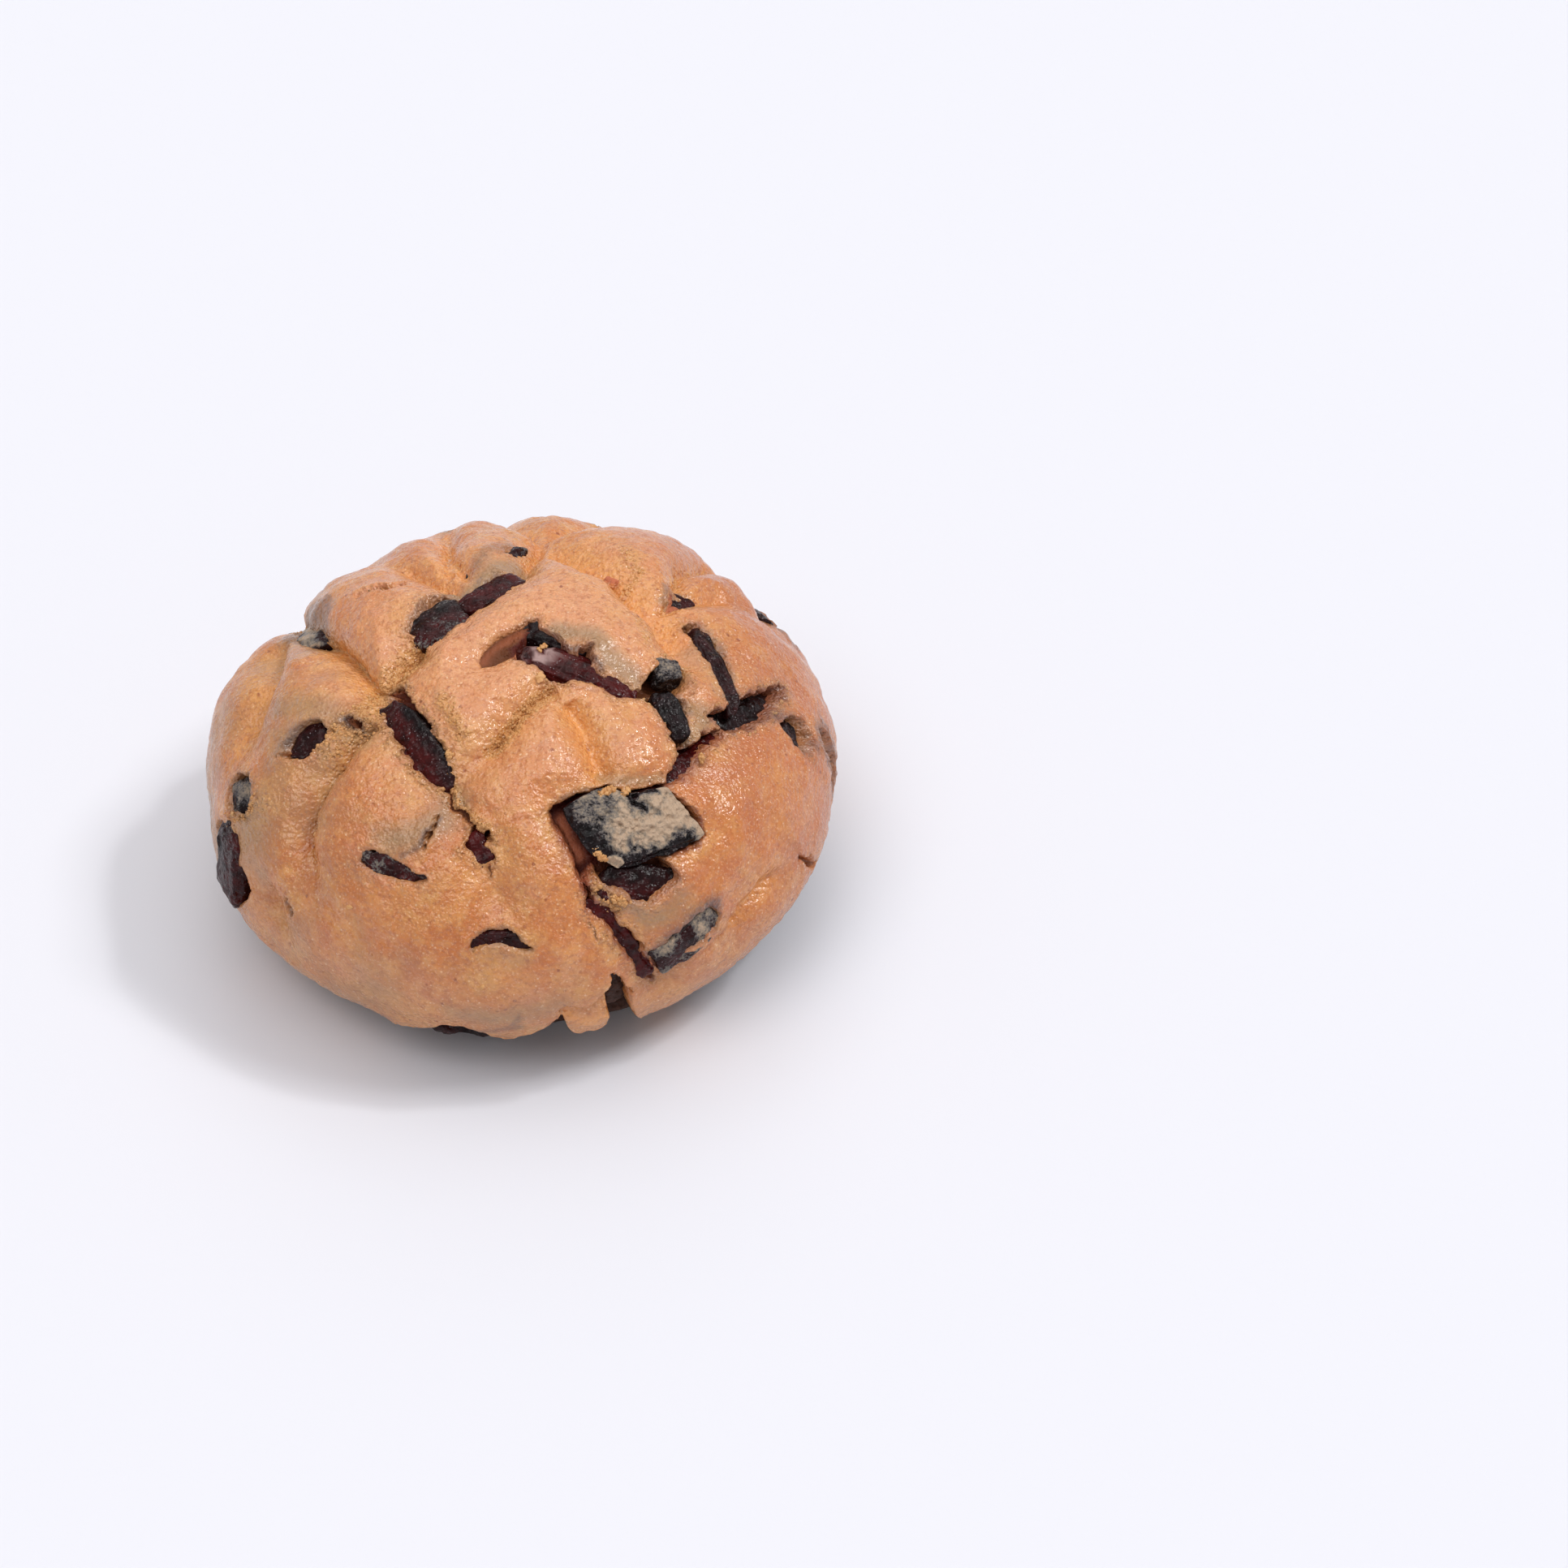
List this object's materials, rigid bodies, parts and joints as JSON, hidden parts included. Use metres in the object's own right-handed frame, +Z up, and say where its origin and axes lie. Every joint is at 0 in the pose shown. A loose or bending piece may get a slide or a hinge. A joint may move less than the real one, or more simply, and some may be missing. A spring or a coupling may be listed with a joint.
{
  "type": "melon pan bun",
  "caption": "Round sweet bun: a dark cocoa bread roll under a thick golden cookie crust, scored in diamonds and cracked open over chunks of dark dried fruit.",
  "frame": {"origin": "centre of the outline box on the floor plane, under the crown", "axes": "+Z up through the crown, -Y towards the front with the short notch in the crust edge, +X to the right"},
  "size_m": [0.1046, 0.1057, 0.0562],
  "materials": {
    "bread": "dark brown porous cocoa bread, dry and matte",
    "crust": "golden to pink-brown baked cookie dough, finely pitted, slightly satin with sugar",
    "fruit_red": "dark red sticky dried fruit",
    "fruit_dark": "blue-black dried fruit with a dull skin"
  },
  "bodies": {
    "root": {"bread": "bread", "cookie_crust": "crust", "fruit_back_crack_a": "fruit_red", "fruit_back_crack_b": "fruit_red", "fruit_back_crack_c": "fruit_red", "fruit_back_high": "fruit_dark", "fruit_back_low": "fruit_dark", "fruit_back_side": "fruit_dark", "fruit_back_slab": "fruit_dark", "fruit_back_slit": "fruit_dark", "fruit_centre_black": "fruit_dark", "fruit_centre_red": "fruit_red", "fruit_crown_black": "fruit_dark", "fruit_crown_red": "fruit_red", "fruit_diamond": "fruit_dark", "fruit_east_rim": "fruit_dark", "fruit_east_slit": "fruit_dark", "fruit_eye": "fruit_dark", "fruit_front_red": "fruit_red", "fruit_high_grey": "fruit_dark", "fruit_high_left": "fruit_dark", "fruit_high_right": "fruit_dark", "fruit_left_crack": "fruit_red", "fruit_left_hole": "fruit_red", "fruit_low_slit": "fruit_dark", "fruit_pit_black": "fruit_dark", "fruit_pit_grey": "fruit_dark", "fruit_purple_hole": "fruit_red", "fruit_right_dark": "fruit_dark", "fruit_right_long": "fruit_dark", "fruit_right_red": "fruit_red", "fruit_rim_low": "fruit_dark", "fruit_skin_band": "fruit_dark", "fruit_west": "fruit_dark", "fruit_west_grey": "fruit_dark", "fruit_west_rim": "fruit_dark"}
  },
  "joints": []
}
